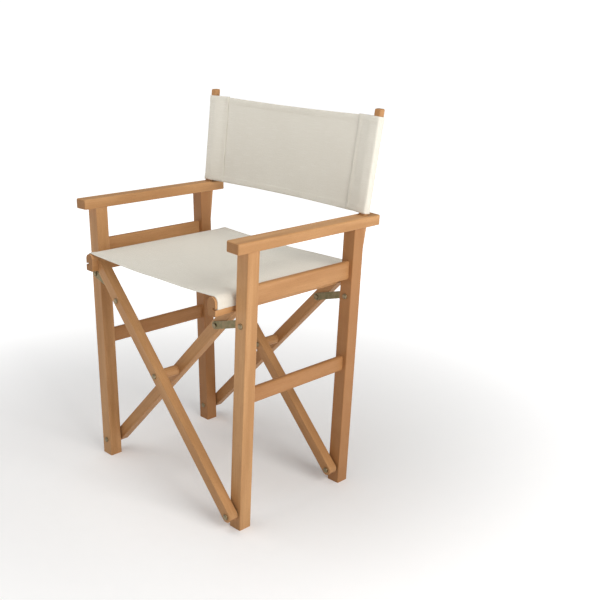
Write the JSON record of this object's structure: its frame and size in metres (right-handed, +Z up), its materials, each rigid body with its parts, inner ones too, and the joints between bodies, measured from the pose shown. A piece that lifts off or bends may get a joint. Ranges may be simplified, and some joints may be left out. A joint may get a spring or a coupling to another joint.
{
  "type": "folding chair",
  "caption": "Wooden folding armchair with crossed legs under a canvas seat, a canvas back on raked posts, and flat metal links that guide the fold.",
  "frame": {"origin": "on the floor under the middle of the open chair's bounding box", "axes": "+Z up, the seat faces -Y, +X to the right of someone looking at the front of the chair"},
  "size_m": [0.5432, 0.4175, 0.8402],
  "materials": {
    "frame_beech": "satin clear-coated beech",
    "arm_beech": "satin clear-coated beech",
    "bar_beech": "satin clear-coated beech",
    "rail_beech": "satin clear-coated beech",
    "spacer_beech": "turned beech",
    "dowel_beech": "raw beech",
    "link_zinc": "yellow passivated zinc plate",
    "fastener_zinc": "zinc-plated steel",
    "canvas": "plain-weave cotton canvas"
  },
  "bodies": {
    "left_side": {"left_front_leg": "frame_beech", "left_rear_leg": "frame_beech", "left_back_post": "frame_beech", "left_armrest": "arm_beech", "left_upper_rail": "frame_beech", "left_lower_rail": "frame_beech", "left_arm_dowels": "dowel_beech", "left_post_screws": "fastener_zinc", "left_pivot_bolts": "fastener_zinc", "left_pivot_nuts": "fastener_zinc", "left_pivot_washers": "fastener_zinc", "left_link_bolts": "fastener_zinc", "left_link_nuts": "fastener_zinc", "back_canvas": "canvas"},
    "right_side": {"right_front_leg": "frame_beech", "right_rear_leg": "frame_beech", "right_back_post": "frame_beech", "right_armrest": "arm_beech", "right_upper_rail": "frame_beech", "right_lower_rail": "frame_beech", "right_arm_dowels": "dowel_beech", "right_post_screws": "fastener_zinc", "right_pivot_bolts": "fastener_zinc", "right_pivot_nuts": "fastener_zinc", "right_pivot_washers": "fastener_zinc", "right_link_bolts": "fastener_zinc", "right_link_nuts": "fastener_zinc"},
    "cross_b": {"front_inner_bar": "bar_beech", "rear_outer_bar": "bar_beech", "right_seat_rail": "rail_beech", "right_rail_dowels": "dowel_beech", "right_hem_rod": "dowel_beech", "centre_bolts": "fastener_zinc", "centre_nuts": "fastener_zinc", "centre_spacers": "spacer_beech", "right_bar_bolts": "fastener_zinc", "right_bar_nuts": "fastener_zinc", "seat_canvas": "canvas"},
    "cross_a": {"front_outer_bar": "bar_beech", "rear_inner_bar": "bar_beech", "left_seat_rail": "rail_beech", "left_rail_dowels": "dowel_beech", "left_hem_rod": "dowel_beech", "left_bar_bolts": "fastener_zinc"},
    "front_left_link": {"front_left_link": "link_zinc", "front_left_link_rivet": "fastener_zinc"},
    "front_right_link": {"front_right_link": "link_zinc", "front_right_link_rivet": "fastener_zinc"},
    "rear_left_link": {"rear_left_link": "link_zinc", "rear_left_link_rivet": "fastener_zinc"},
    "rear_right_link": {"rear_right_link": "link_zinc", "rear_right_link_rivet": "fastener_zinc"}
  },
  "joints": [
    {"name": "fold", "type": "hinge", "parent": "left_side", "child": "cross_b", "pos_m": [-0.23132, 0, 0.0365], "axis": [0, -1, 0], "range_deg": [0, 38.5], "deforming": ["back_canvas"]},
    {"name": "cross", "type": "hinge", "parent": "cross_b", "child": "cross_a", "pos_m": [0, 0, 0.27604], "axis": [0, 1, 0], "range_deg": [0, 80], "deforming": ["seat_canvas"]},
    {"name": "right_fold", "type": "hinge", "parent": "cross_a", "child": "right_side", "pos_m": [0.23132, 0, 0.0365], "axis": [0, -1, 0], "range_deg": [0, 38.5]},
    {"name": "front_left_link_turn", "type": "hinge", "parent": "left_side", "child": "front_left_link", "pos_m": [-0.24566, -0.1692, 0.44725], "axis": [0, -1, 0], "range_deg": [0, 87.9]},
    {"name": "front_right_link_turn", "type": "hinge", "parent": "right_side", "child": "front_right_link", "pos_m": [0.24566, -0.1362, 0.44725], "axis": [0, 1, 0], "range_deg": [0, 87.9]},
    {"name": "rear_left_link_turn", "type": "hinge", "parent": "left_side", "child": "rear_left_link", "pos_m": [-0.24566, 0.1298, 0.44725], "axis": [0, -1, 0], "range_deg": [0, 87.9]},
    {"name": "rear_right_link_turn", "type": "hinge", "parent": "right_side", "child": "rear_right_link", "pos_m": [0.24566, 0.1628, 0.44725], "axis": [0, 1, 0], "range_deg": [0, 87.9]}
  ],
  "couplings": [
    {"joint": "cross", "follows": "fold", "ratio": 2.0779},
    {"joint": "right_fold", "follows": "fold", "ratio": 1},
    {"joint": "front_left_link_turn", "follows": "fold", "ratio": 2.2831},
    {"joint": "front_right_link_turn", "follows": "fold", "ratio": 2.2831},
    {"joint": "rear_left_link_turn", "follows": "fold", "ratio": 2.2831},
    {"joint": "rear_right_link_turn", "follows": "fold", "ratio": 2.2831}
  ]
}
